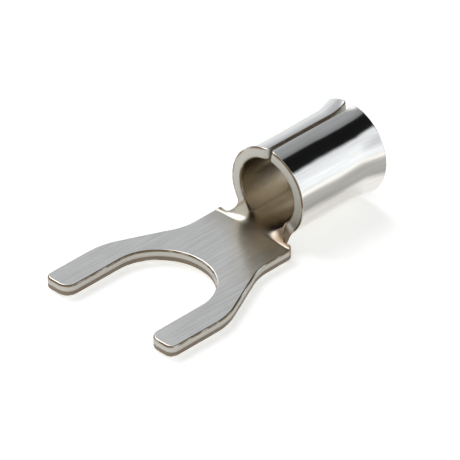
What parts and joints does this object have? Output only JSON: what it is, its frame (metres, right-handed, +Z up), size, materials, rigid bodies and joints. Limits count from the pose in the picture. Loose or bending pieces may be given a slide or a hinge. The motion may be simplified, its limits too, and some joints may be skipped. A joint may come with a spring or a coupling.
{
  "type": "fork terminal",
  "caption": "Bare fork crimp terminal: a rolled wire barrel with a butt seam and a flared mouth, a flat tongue and an open slot for a screw stud.",
  "frame": {"origin": "under the middle of the terminal's length, on the surface that it lies on", "axes": "+Z up, -Y towards the tips of the fork, +Y towards the mouth of the barrel, where the wire goes in"},
  "size_m": [0.0068, 0.0136, 0.004],
  "materials": {
    "tinned_copper": "bright tin plating over copper sheet, glossy on the rolled barrel and satin on the flat tongue"
  },
  "bodies": {
    "root": {"fork_terminal": "tinned_copper"}
  },
  "joints": []
}
